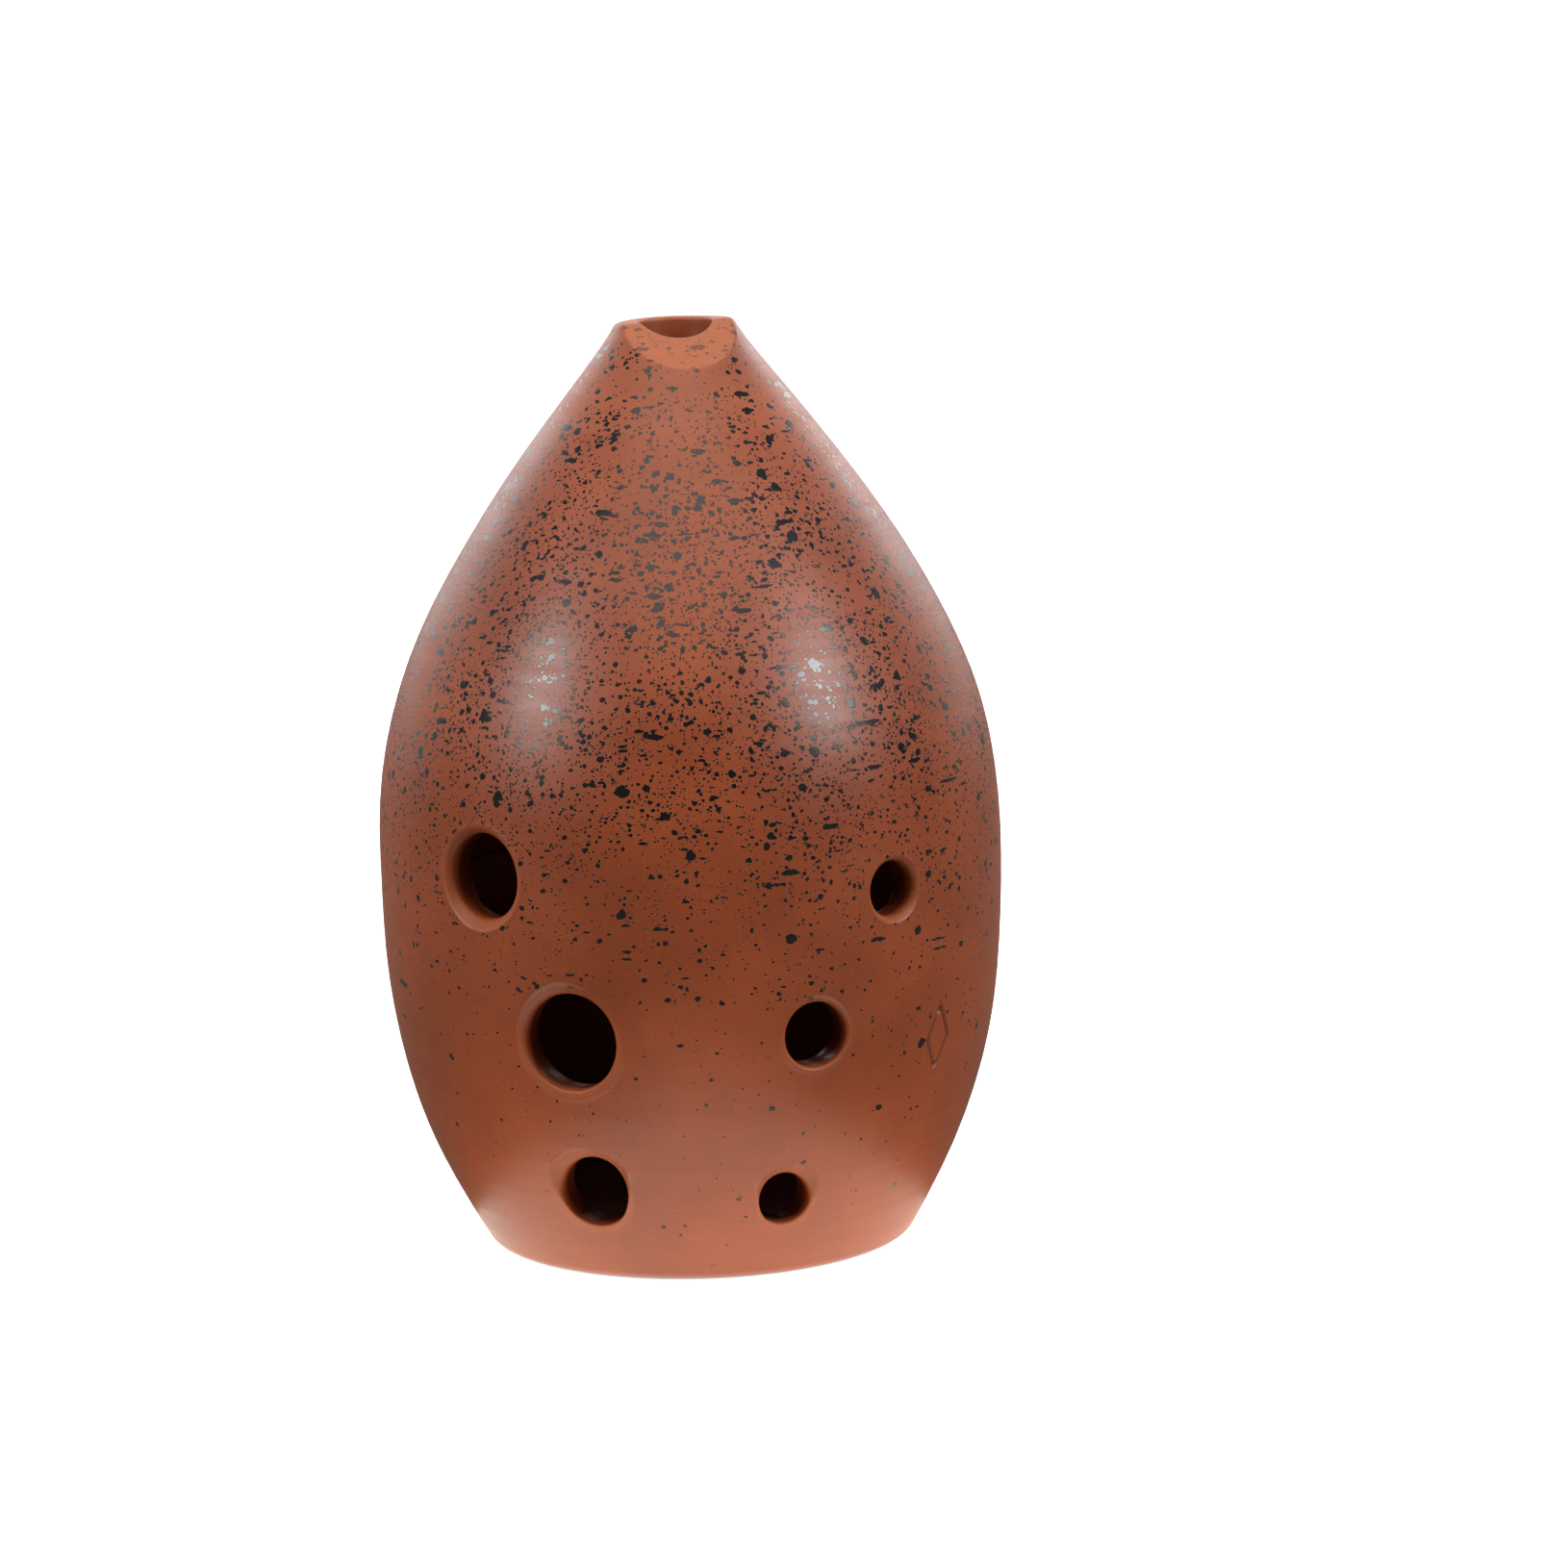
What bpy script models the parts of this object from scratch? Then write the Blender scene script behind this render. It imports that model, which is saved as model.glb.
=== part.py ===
"""A clay xun: an egg-shaped vessel flute, blown across a bevelled mouth at its top.

Two thrown half shells are luted together near the belly with a lapped joint, a coil of clay
backs that joint on the inside, a base slab closes the foot, and a thick ring forms the mouth.
Everything is fired into one rigid body, so each joint is a fit with a slip gap between the pieces.

Units are metres. The origin is the centre of the base, +Z is up, and the six finger holes
face -Y. An azimuth is counted from -Y towards +X.
"""
from collections import namedtuple
from math import cos, pi, radians, sin

import bmesh
import bpy
from mathutils import Matrix, Vector
from mathutils.geometry import interpolate_bezier

# A place on the outer wall: the wall leans outwards by `lean` on its way up, and the curve
# reaches `below` and `above` that far along its tangent.
Station = namedtuple("Station", "radius height lean below above")
Hole = namedtuple("Hole", "name shell azimuth height radius countersink")

# Driving dimensions of the vessel
HEIGHT = 0.105
WALL = 0.004
SLIP_GAP = 0.0003            # dried slip between two luted pieces
FOOT_LEAN = radians(31.2)
FOOT_ROUND = 0.002
FOOT = Station(0.0246, FOOT_ROUND * (1 - sin(FOOT_LEAN)), FOOT_LEAN, 0.0, 0.0181)
BELLY = Station(0.0355, 0.045, 0.0, 0.0174, 0.0141)
SHOULDER = Station(0.02345, 0.082, radians(-32.8), 0.0161, 0.0139)
RIM = Station(0.0066, HEIGHT, radians(-20), 0.0031, 0.0)

# Mouth: a round bore, and a flat bevel that faces the player and makes the blowing edge
BORE_RADIUS = 0.0043
BEVEL_AZIMUTH = radians(10)
BEVEL_SLOPE = radians(29.6)
BEVEL_START = 0.0012         # from the axis to where the bevel meets the rim
MOUTH_SEAM = 0.0935
MOUTH_LAP = 0.0025
MOUTH_SPIGOT_RADIUS = 0.0135

# Belly joint and base slab
BELLY_SEAM = 0.0375
BELLY_LAP = 0.002
COIL_HEIGHT = 0.005
COIL_DEPTH = 0.0018
BASE_THICKNESS = 0.005
SLAB_RADIUS = 0.0195
SLAB_STEP = 0.0025           # the slab is let in by a step as wide as it is high

# Six finger holes in front and two thumb holes behind, each drilled level towards the axis
HOLES = (
    Hole("left_upper", "upper", radians(-41), 0.0467, 0.0048, 0.0011),
    Hole("left_middle", "lower", radians(-24), 0.0289, 0.0054, 0.0010),
    Hole("left_lower", "lower", radians(-23.8), 0.0110, 0.0040, 0.0008),
    Hole("right_upper", "upper", radians(38.8), 0.0442, 0.0031, 0.0006),
    Hole("right_middle", "lower", radians(22.4), 0.0291, 0.00365, 0.0005),
    Hole("right_lower", "lower", radians(18.6), 0.0098, 0.00295, 0.0005),
    Hole("left_thumb", "upper", radians(-157), 0.0520, 0.0044, 0.0008),
    Hole("right_thumb", "upper", radians(157), 0.0520, 0.0044, 0.0008),
)

# Tools that cut the clay
DRILL_DEPTH = 2.5 * WALL     # from the outer wall inwards
DRILL_REACH = 0.003          # from the outer wall outwards
BLOCK_SIZE = 0.04

# Fineness
ROUND_STEPS = 48
HOLE_STEPS = 24
CURVE_STEPS = 8
ARC_STEPS = 4
SAME_POINT = 1e-7

Z_AXIS = Vector((0, 0, 1))


def clear_scene():
    for old in list(bpy.data.objects):
        bpy.data.objects.remove(old, do_unlink=True)


def clay(name, colour, roughness):
    material = bpy.data.materials.new(name)
    material.use_nodes = True
    surface = material.node_tree.nodes["Principled BSDF"]
    surface.inputs["Base Color"].default_value = (*colour, 1.0)
    surface.inputs["Roughness"].default_value = roughness
    surface.inputs["Metallic"].default_value = 0.0
    material.diffuse_color = (*colour, 1.0)
    return material


# ---- Outlines, as lists of (radius, height) -------------------------------------------------

def arc(centre, radius, start, end, steps):
    angles = [start + (end - start) * step / steps for step in range(steps + 1)]
    return [Vector((centre[0] + radius * cos(angle), centre[1] + radius * sin(angle)))
            for angle in angles]


def wall_curve(lower, upper):
    """The wall between two stations, without its first point."""
    tangents = [Vector((sin(station.lean), cos(station.lean))) for station in (lower, upper)]
    ends = [Vector((station.radius, station.height)) for station in (lower, upper)]
    curve = interpolate_bezier(ends[0], ends[0] + tangents[0] * lower.above,
                               ends[1] - tangents[1] * upper.below, ends[1], CURVE_STEPS + 1)
    return [Vector(point) for point in curve[1:]]


def outer_wall():
    """The whole outer wall, from the flat of the foot up to the rim."""
    foot_centre = (FOOT.radius - FOOT_ROUND * cos(FOOT_LEAN), FOOT_ROUND)
    points = arc(foot_centre, FOOT_ROUND, -pi / 2, -FOOT_LEAN, ARC_STEPS)
    for lower, upper in ((FOOT, BELLY), (BELLY, SHOULDER), (SHOULDER, RIM)):
        points += wall_curve(lower, upper)
    return points


def inner_wall():
    """The outer wall moved in by the wall's thickness, square to its surface."""
    outer = outer_wall()
    inner = []
    for before, point, after in zip(outer, outer[1:], outer[2:]):
        tangent = (after - before).normalized()
        inner.append(point + WALL * Vector((-tangent.y, tangent.x)))
    return inner


def radius_at(curve, height):
    """The curve's radius at a height, or at its nearer end past either end."""
    height = min(max(height, curve[0].y), curve[-1].y)
    for low, high in zip(curve, curve[1:]):
        if low.y <= height <= high.y:
            return low.x + (high.x - low.x) * (height - low.y) / (high.y - low.y)
    raise ValueError(f"no wall at height {height}")


def bore_start(curve):
    """The height at which the inner wall has closed in to the bore."""
    for low, high in zip(curve, curve[1:]):
        if high.x <= BORE_RADIUS < low.x:
            return low.y + (high.y - low.y) * (low.x - BORE_RADIUS) / (low.x - high.x)
    raise ValueError("the inner wall never meets the bore")


def stretch(curve, low, high):
    """The part of a curve between two heights, with a point at each end."""
    middle = [point for point in curve if low < point.y < high]
    return [Vector((radius_at(curve, low), low)), *middle, Vector((radius_at(curve, high), high))]


# ---- Solids ---------------------------------------------------------------------------------

def turned(name, profile, material, steps=ROUND_STEPS):
    """A closed solid turned about +Z from a closed profile of (radius, height) points."""
    mesh = bmesh.new()
    verts = [mesh.verts.new((radius, 0, height)) for radius, height in profile]
    edges = [mesh.edges.new(pair) for pair in zip(verts, verts[1:] + verts[:1])]
    bmesh.ops.spin(mesh, geom=verts + edges, cent=(0, 0, 0), axis=Z_AXIS, dvec=(0, 0, 0),
                   angle=2 * pi, steps=steps, use_merge=True, use_duplicate=False)
    bmesh.ops.remove_doubles(mesh, verts=mesh.verts, dist=SAME_POINT)
    bmesh.ops.dissolve_degenerate(mesh, edges=mesh.edges, dist=SAME_POINT)
    bmesh.ops.recalc_face_normals(mesh, faces=mesh.faces)
    data = bpy.data.meshes.new(name)
    mesh.to_mesh(data)
    mesh.free()
    data.shade_smooth()
    body = bpy.data.objects.new(name, data)
    bpy.context.collection.objects.link(body)
    if material:
        data.materials.append(material)
    return body


def cut(body, cutter):
    cutter.hide_render = True
    cutter.display_type = "WIRE"
    boolean = body.modifiers.new(f"cut_{cutter.name}", "BOOLEAN")
    boolean.operation = "DIFFERENCE"
    boolean.solver = "EXACT"
    boolean.object = cutter


def hole_cutter(hole):
    """A drill with a 45 degree countersink, pointed level at the vessel's axis."""
    surface_radius = radius_at(outer_wall(), hole.height)
    wide = hole.radius + hole.countersink
    profile = [(0, -DRILL_DEPTH), (hole.radius, -DRILL_DEPTH), (hole.radius, -hole.countersink),
               (wide, 0), (wide + DRILL_REACH, DRILL_REACH), (0, DRILL_REACH)]
    cutter = turned(f"drill_{hole.name}", profile, None, HOLE_STEPS)
    outwards = Vector((sin(hole.azimuth), -cos(hole.azimuth), 0))
    turn = Z_AXIS.rotation_difference(outwards).to_matrix().to_4x4()
    place = outwards * surface_radius + Z_AXIS * hole.height
    cutter.matrix_world = Matrix.Translation(place) @ turn
    return cutter


def bevel_cutter():
    """A block that lies on the bevel's plane."""
    mesh = bmesh.new()
    bmesh.ops.create_cube(mesh, size=BLOCK_SIZE)
    bmesh.ops.translate(mesh, verts=mesh.verts, vec=(0, 0, BLOCK_SIZE / 2))
    data = bpy.data.meshes.new("bevel_block")
    mesh.to_mesh(data)
    mesh.free()
    cutter = bpy.data.objects.new("bevel_block", data)
    bpy.context.collection.objects.link(cutter)
    outwards = Vector((sin(BEVEL_AZIMUTH), -cos(BEVEL_AZIMUTH), 0))
    place = outwards * BEVEL_START + Z_AXIS * HEIGHT
    cutter.matrix_world = (Matrix.Translation(place) @ Matrix.Rotation(BEVEL_AZIMUTH, 4, "Z")
                           @ Matrix.Rotation(BEVEL_SLOPE, 4, "X"))
    return cutter


def lower_shell(material):
    """The bowl below the belly joint, with a tongue on top and a stepped hole for the slab."""
    outer = stretch(outer_wall(), 0, BELLY_SEAM)
    inner = stretch(inner_wall(), BASE_THICKNESS, BELLY_SEAM + BELLY_LAP)
    tongue = (radius_at(outer_wall(), BELLY_SEAM) - WALL / 2) - SLIP_GAP / 2
    opening = SLAB_RADIUS + SLIP_GAP
    step_top = SLAB_STEP + SLIP_GAP
    profile = [*outer, (tongue, BELLY_SEAM), (tongue, BELLY_SEAM + BELLY_LAP), *reversed(inner),
               (opening - SLAB_STEP, BASE_THICKNESS), (opening - SLAB_STEP, step_top),
               (opening, step_top), (opening, 0)]
    return turned("lower_shell", profile, material)


def upper_shell(material):
    """The dome above the belly joint, with a socket at each end."""
    low, high = BELLY_SEAM + SLIP_GAP, MOUTH_SEAM - SLIP_GAP
    outer = stretch(outer_wall(), low, high)
    socket = (radius_at(outer_wall(), BELLY_SEAM) - WALL / 2) + SLIP_GAP / 2
    ledge = MOUTH_SEAM - MOUTH_LAP - SLIP_GAP
    inner = stretch(inner_wall(), BELLY_SEAM + BELLY_LAP + SLIP_GAP, ledge)
    neck = MOUTH_SPIGOT_RADIUS + SLIP_GAP
    profile = [*outer, (neck, high), (neck, ledge), *reversed(inner),
               (socket, BELLY_SEAM + BELLY_LAP + SLIP_GAP), (socket, low)]
    return turned("upper_shell", profile, material)


def mouth_ring(material):
    """The thick ring with the bore, whose spigot sits in the upper shell."""
    outer = stretch(outer_wall(), MOUTH_SEAM, HEIGHT)
    throat = bore_start(inner_wall())
    inner = stretch(inner_wall(), MOUTH_SEAM - MOUTH_LAP, throat)
    profile = [*outer, (BORE_RADIUS, HEIGHT), *reversed(inner),
               (MOUTH_SPIGOT_RADIUS, MOUTH_SEAM - MOUTH_LAP), (MOUTH_SPIGOT_RADIUS, MOUTH_SEAM)]
    ring = turned("mouth_ring", profile, material)
    cut(ring, bevel_cutter())
    return ring


def base_slab(material):
    """The slab that closes the foot, flush with it."""
    profile = [(0, 0), (SLAB_RADIUS, 0), (SLAB_RADIUS, SLAB_STEP),
               (SLAB_RADIUS - SLAB_STEP, SLAB_STEP), (SLAB_RADIUS - SLAB_STEP, BASE_THICKNESS),
               (0, BASE_THICKNESS)]
    return turned("base_slab", profile, material)


def seam_coil(material):
    """The coil of clay pressed over the inside of the belly joint."""
    middle = BELLY_SEAM + BELLY_LAP / 2
    wall = inner_wall()
    low, high = middle - COIL_HEIGHT / 2, middle + COIL_HEIGHT / 2
    back = [Vector((point.x - SLIP_GAP, point.y)) for point in stretch(wall, low, high)]
    back_radius = radius_at(wall, middle) - SLIP_GAP
    steps = 2 * ARC_STEPS
    face = [Vector((back_radius - COIL_DEPTH * sin(pi * step / steps),
                    middle + COIL_HEIGHT / 2 * cos(pi * step / steps)))
            for step in range(1, steps)]
    return turned("seam_coil", [*back, *face], material)


def main():
    clear_scene()
    shells = {
        "lower": lower_shell(clay("lower_shell_clay", (0.28, 0.105, 0.058), 0.5)),
        "upper": upper_shell(clay("upper_shell_clay", (0.30, 0.115, 0.065), 0.5)),
    }
    mouth_ring(clay("mouth_ring_clay", (0.42, 0.20, 0.125), 0.55))
    base_slab(clay("base_slab_clay", (0.33, 0.14, 0.08), 0.6))
    seam_coil(clay("seam_coil_clay", (0.26, 0.10, 0.06), 0.8))
    for hole in HOLES:
        cut(shells[hole.shell], hole_cutter(hole))


main()
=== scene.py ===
"""The looks of a clay xun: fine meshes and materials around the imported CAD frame.

Units are metres, +Z is up, the finger holes face -Y, and an azimuth is counted from -Y towards +X.
Each piece of clay is one closed quad mesh. A wall is a grid of rows (up the wall) and columns
(round the vessel), and every hole is let into it through a rectangular window of the grid.
"""
from collections import namedtuple
from math import cos, pi, radians, sin, tan

import bpy
import numpy as np
from mathutils import Matrix, Vector


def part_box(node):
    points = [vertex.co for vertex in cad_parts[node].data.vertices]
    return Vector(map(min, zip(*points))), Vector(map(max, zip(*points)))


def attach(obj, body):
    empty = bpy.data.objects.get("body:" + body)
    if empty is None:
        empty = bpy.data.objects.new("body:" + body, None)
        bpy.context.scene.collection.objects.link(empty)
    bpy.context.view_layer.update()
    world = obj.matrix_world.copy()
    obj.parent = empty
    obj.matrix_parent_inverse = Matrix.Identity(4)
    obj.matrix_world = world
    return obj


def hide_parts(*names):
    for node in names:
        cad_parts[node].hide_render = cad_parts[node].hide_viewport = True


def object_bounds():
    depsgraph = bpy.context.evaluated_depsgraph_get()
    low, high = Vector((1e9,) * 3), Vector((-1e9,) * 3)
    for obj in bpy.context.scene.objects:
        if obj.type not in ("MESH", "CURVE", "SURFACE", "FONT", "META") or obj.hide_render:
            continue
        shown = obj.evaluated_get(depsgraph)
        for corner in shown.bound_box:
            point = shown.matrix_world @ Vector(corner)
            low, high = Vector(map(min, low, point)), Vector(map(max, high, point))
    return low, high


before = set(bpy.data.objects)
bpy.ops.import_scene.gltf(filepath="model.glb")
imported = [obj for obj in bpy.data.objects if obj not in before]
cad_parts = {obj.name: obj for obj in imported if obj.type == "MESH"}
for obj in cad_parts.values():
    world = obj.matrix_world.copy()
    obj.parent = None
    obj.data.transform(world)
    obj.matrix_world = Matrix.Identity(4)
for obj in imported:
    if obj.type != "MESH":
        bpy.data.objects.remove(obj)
CAD_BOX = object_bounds()

MM = 0.001
Station = namedtuple("Station", "radius height lean below above")
Hole = namedtuple("Hole", "azimuth height radius countersink burr")

# ---- Sizes ----------------------------------------------------------------------------------

HEIGHT = CAD_BOX[1][2]
WALL = 4 * MM
BASE_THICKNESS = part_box("base_slab")[1][2]
SLAB_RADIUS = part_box("base_slab")[1][0]
SLAB_STEP = 2.5 * MM
SLIP_GAP = 0.3 * MM
BELLY_LAP = 2 * MM
BELLY_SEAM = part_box("lower_shell")[1][2] - BELLY_LAP
MOUTH_LAP = 2.5 * MM
MOUTH_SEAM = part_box("mouth_ring")[0][2] + MOUTH_LAP
SPIGOT_RADIUS = 13.5 * MM
COIL_LOW, COIL_HIGH = (corner[2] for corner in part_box("seam_coil"))
COIL_DEPTH = 1.8 * MM
COIL_CLEARANCE = 0.1 * MM
SEAM_INSET = 0.4 * MM         # the dome's edges at both seams, in from the wall
SLAB_ROUND = 0.25 * MM        # the soft edges of the slab and of its opening
SPIRAL_PITCH = 1.7 * MM
SPIRAL_DEPTH = 0.06 * MM

FOOT_ROUND = 2 * MM
FOOT_LEAN = radians(31.2)
FOOT = Station(24.6 * MM, FOOT_ROUND * (1 - sin(FOOT_LEAN)), FOOT_LEAN, 0, 18.1 * MM)
BELLY = Station(CAD_BOX[1][0], 45 * MM, 0, 17.4 * MM, 14.1 * MM)
SHOULDER = Station(23.45 * MM, 82 * MM, radians(-32.8), 16.1 * MM, 13.9 * MM)
RIM = Station(6.6 * MM, HEIGHT, radians(-20), 3.1 * MM, 0)

BORE_RADIUS = 4.3 * MM
BEVEL_AZIMUTH = radians(10)
BEVEL_SLOPE = radians(29.6)
BEVEL_START = 1.2 * MM
RIM_TILT = tan(radians(0.9))  # the rim was cut a little lower on the left
RIM_UNEVEN = 0.04 * MM
RIM_BLEND = 0.25 * MM         # between the rim and the bevel
RIM_ROUND = 0.75 * MM         # the soft outer edge of the rim, and of the bevel
BEVEL_ROUND = 0.25 * MM
BLOW_HOLE_ROUND = 0.40 * MM   # the soft edge of the blow hole, and where the bevel cuts it
BLOW_EDGE_ROUND = 0.18 * MM
BEVEL_FULL = 1.5 * MM         # below the top, where a bevelled edge is fully sharp

LOWER_HOLES = (
    Hole(radians(-24), 28.9 * MM, 5.4 * MM, 1.0 * MM, 0.05 * MM),        # left middle
    Hole(radians(-23.8), 11.0 * MM, 4.0 * MM, 0.8 * MM, 0.03 * MM),      # left lower
    Hole(radians(22.4), 29.1 * MM, 3.65 * MM, 0.5 * MM, 0.06 * MM),      # right middle
    Hole(radians(18.6), 9.8 * MM, 2.95 * MM, 0.5 * MM, 0.03 * MM),       # right lower
)
UPPER_HOLES = (
    Hole(radians(-41), 46.7 * MM, 4.8 * MM, 1.1 * MM, 0.04 * MM),        # left upper
    Hole(radians(38.8), 44.2 * MM, 3.1 * MM, 0.6 * MM, 0.04 * MM),       # right upper
    Hole(radians(-157), 52 * MM, 4.4 * MM, 0.8 * MM, 0.04 * MM),         # left thumb
    Hole(radians(157), 52 * MM, 4.4 * MM, 0.8 * MM, 0.04 * MM),          # right thumb
)
HOLE_MARGIN = 2.1 * MM        # from a countersink's edge to the side of its window
LIP_REACH = 0.9 * MM          # from a countersink's edge to where the wall is left alone
LIP_BLEND = 0.30 * MM         # over which the wall runs into the countersink
LIP_ROUND = 0.32 * MM         # the soft edge between a countersink and its bore
LIP_FADE = 0.3 * MM           # over which the glaze ends and the worn clay starts
BURR_WIDTH = 0.28 * MM
BORE_ROUND = 0.4 * MM         # the soft edge between a bore and the inner wall, across the bore
BORE_ROUND_DEPTH = 0.35 * MM  # and along it
BORE_WOBBLE = 0.05 * MM

# Wear-and-shade levels of the mesh: above 0 the clay is worn and paler, below 0 it is darkened with
# painted shade
BEVEL_LIP = 2.0
BLOW_HOLE_LIP = 1.4
BORE_EDGE_LIP = 0.5
# Painted shade down a bore: its walls are darkened
BORE_PAINTED_SHADE = -1.0
# Painted shade in the mark's groove
MARK_PAINTED_SHADE = -0.8

# A plain lozenge pressed into the wall beside the right-hand holes
MARK_AZIMUTH = radians(51.6)
MARK_HEIGHT = 26.3 * MM
MARK_HALF_WIDTH = 1.9 * MM
MARK_HALF_HEIGHT = 3.7 * MM
MARK_GROOVE = 0.50 * MM
MARK_DEPTH = 0.30 * MM
MARK_MARGIN = 1.6 * MM
# The groove from outside to inside: (place across it in groove widths, part of its full depth)
MARK_SECTION = ((1, -0.12), (0.7, -0.06), (0.45, 0.35), (0.2, 0.9), (0, 1), (-0.2, 0.9),
                (-0.45, 0.35), (-0.7, 0.05), (-1, 0))
MARK_INSIDE = (0.55, 0.3, 0.12)  # the rows inside the groove, as parts of the lozenge

COLUMNS = 240
ROW = 0.6 * MM


# ---- The wall's outline ---------------------------------------------------------------------

def bezier(lower, upper, steps=400):
    """The wall between two stations as (radius, height) rows."""
    ends = [np.array((s.radius, s.height)) for s in (lower, upper)]
    tangents = [np.array((sin(s.lean), cos(s.lean))) for s in (lower, upper)]
    near = ends[0] + tangents[0] * lower.above
    far = ends[1] - tangents[1] * upper.below
    t = np.linspace(0, 1, steps)[1:, None]
    return ((1 - t) ** 3 * ends[0] + 3 * (1 - t) ** 2 * t * near
            + 3 * (1 - t) * t ** 2 * far + t ** 3 * ends[1])


def foot_arc(steps=60):
    angles = np.linspace(-pi / 2, -FOOT_LEAN, steps)
    centre = np.array((FOOT.radius - FOOT_ROUND * cos(FOOT_LEAN), FOOT_ROUND))
    return centre + FOOT_ROUND * np.stack((np.cos(angles), np.sin(angles)), axis=1)


def offset(curve, distance):
    """The outline moved in by a distance, square to itself."""
    tangent = np.gradient(curve, axis=0)
    tangent /= np.linalg.norm(tangent, axis=1)[:, None]
    return curve + distance * np.stack((-tangent[:, 1], tangent[:, 0]), axis=1)


OUTER = np.vstack((foot_arc(), bezier(FOOT, BELLY), bezier(BELLY, SHOULDER),
                   bezier(SHOULDER, RIM)))
INNER = offset(OUTER, WALL)
INNER = INNER[np.maximum.accumulate(INNER[:, 1]) <= INNER[:, 1]]


def throwing(azimuth, height):
    """How far the thrown and burnished wall strays from its true outline."""
    fade = np.clip(height / (6 * MM), 0, 1) * np.clip((HEIGHT - height) / (12 * MM), 0, 1)
    rings = (0.005 * np.sin(height / MM * 1.9 + 0.9 * np.sin(azimuth + 0.6))
             + 0.003 * np.sin(height / MM * 3.1 + 1.3 * np.sin(azimuth - 1.1) + 2.0))
    oval = 0.10 * np.cos(2 * azimuth + 0.8) + 0.05 * np.sin(3 * azimuth + height / MM * 0.03)
    waves = 0.035 * np.sin(height / MM * 0.33 + 2 * azimuth) * np.sin(3 * azimuth - 0.7)
    return fade * (rings + oval + waves) * MM


def outer_radius(azimuth, height):
    return np.interp(height, OUTER[:, 1], OUTER[:, 0]) + throwing(azimuth, height)


def inner_radius(azimuth, height):
    return np.interp(height, INNER[:, 1], INNER[:, 0]) + 2.5 * throwing(azimuth + 1, height)


def around(radius, azimuth, height):
    """Points from cylinder coordinates."""
    radius, azimuth, height = np.broadcast_arrays(radius, azimuth, height)
    return np.stack((radius * np.sin(azimuth), -radius * np.cos(azimuth), height), axis=-1)


# ---- Meshes ---------------------------------------------------------------------------------

class Skin:
    """A mesh while it is being built, from rows of points that run round and round.

    Each point also says how glazed it is, from 0 to 1, and its level of worn, paler clay (above 0) or
    of painted shade (below 0).
    """

    def __init__(self):
        self.points = []
        self.glazed = []
        self.lip = []
        self.faces = []
        self.count = 0

    def add(self, points, glazed=1.0, lip=0.0):
        """Adds points of any array shape and returns their numbers in that shape."""
        points = np.asarray(points, dtype=float)
        shape = points.shape[:-1]
        self.points.append(points.reshape(-1, 3))
        for store, value in ((self.glazed, glazed), (self.lip, lip)):
            store.append(np.broadcast_to(np.asarray(value, dtype=float), shape).reshape(-1))
        numbers = self.count + np.arange(int(np.prod(shape))).reshape(shape)
        self.count += numbers.size
        return numbers

    def quads(self, rows, skip=None):
        """Joins rows of point numbers. Each row is a closed ring, and skip marks missing quads."""
        after = np.roll(rows, -1, axis=1)
        quads = np.stack((rows[:-1], after[:-1], after[1:], rows[1:]), axis=-1)
        quads = quads.reshape(-1, 4) if skip is None else quads[~skip]
        self.faces.append(quads)

    def fan(self, ring, centre):
        """Closes a ring with triangles that meet at one point."""
        after = np.roll(ring, -1)
        self.faces.append(np.stack((ring, after, np.full_like(ring, centre)), axis=-1))

    def piece(self, name, material, node):
        """Makes the mesh's object, which stands for a CAD node from here on."""
        points = np.concatenate(self.points)
        faces = [face.tolist() for block in self.faces for face in block]
        mesh = bpy.data.meshes.new(name)
        mesh.from_pydata(points.tolist(), [], faces)
        for attribute, values in (("glazed", self.glazed), ("lip", self.lip)):
            layer = mesh.attributes.new(attribute, "FLOAT", "POINT")
            layer.data.foreach_set("value", np.concatenate(values).astype(np.float32))
        mesh.validate()
        mesh.shade_smooth()
        mesh.set_sharp_from_angle(angle=radians(50))
        mesh.materials.append(material)
        body = bpy.data.objects.new(name, mesh)
        bpy.context.collection.objects.link(body)
        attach(body, "root")
        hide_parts(node)


def spread(start, end, step):
    """Even values from start to end, about a step apart."""
    return np.linspace(start, end, max(2, int(round(abs(end - start) / step)) + 1))


def seam_rows(start, end):
    """Heights up a wall, with a close pair of rows at each seam to keep its shading even."""
    close = 0.02 * MM
    return np.concatenate(([start], spread(start + close, end - close, ROW), [end]))


COLUMN_AZIMUTHS = np.arange(COLUMNS) * 2 * pi / COLUMNS


def window(heights, azimuth, height, half_width, half_height, radius):
    """Rows and columns of the grid that enclose a rectangle on the wall."""
    low = np.searchsorted(heights, height - half_height) - 1
    high = np.searchsorted(heights, height + half_height)
    first = int(np.floor((azimuth - half_width / radius) / (2 * pi) * COLUMNS))
    last = int(np.ceil((azimuth + half_width / radius) / (2 * pi) * COLUMNS))
    return low, high, first, last


def border(low, high, first, last):
    """(row, column) of each grid point round a window, anticlockwise from its lower left."""
    across = np.arange(first, last)
    up = np.arange(low, high)
    rows = np.concatenate((np.full(across.size, low), up, np.full(across.size, high),
                           high - np.arange(up.size)))
    columns = np.concatenate((across, np.full(up.size, last), last - np.arange(across.size),
                              np.full(up.size, first)))
    return rows, columns % COLUMNS


def skipped(shape, windows):
    """Marks the quads of a grid that its windows leave out."""
    skip = np.zeros((shape[0] - 1, shape[1]), dtype=bool)
    for low, high, first, last in windows:
        skip[low:high, np.arange(first, last) % COLUMNS] = True
    return skip


def smooth_min(a, b, soft):
    """The lower of two surfaces, blended where they cross."""
    blend = np.clip(0.5 + 0.5 * (b - a) / soft, 0, 1)
    return b + (a - b) * blend - soft * blend * (1 - blend)


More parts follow.
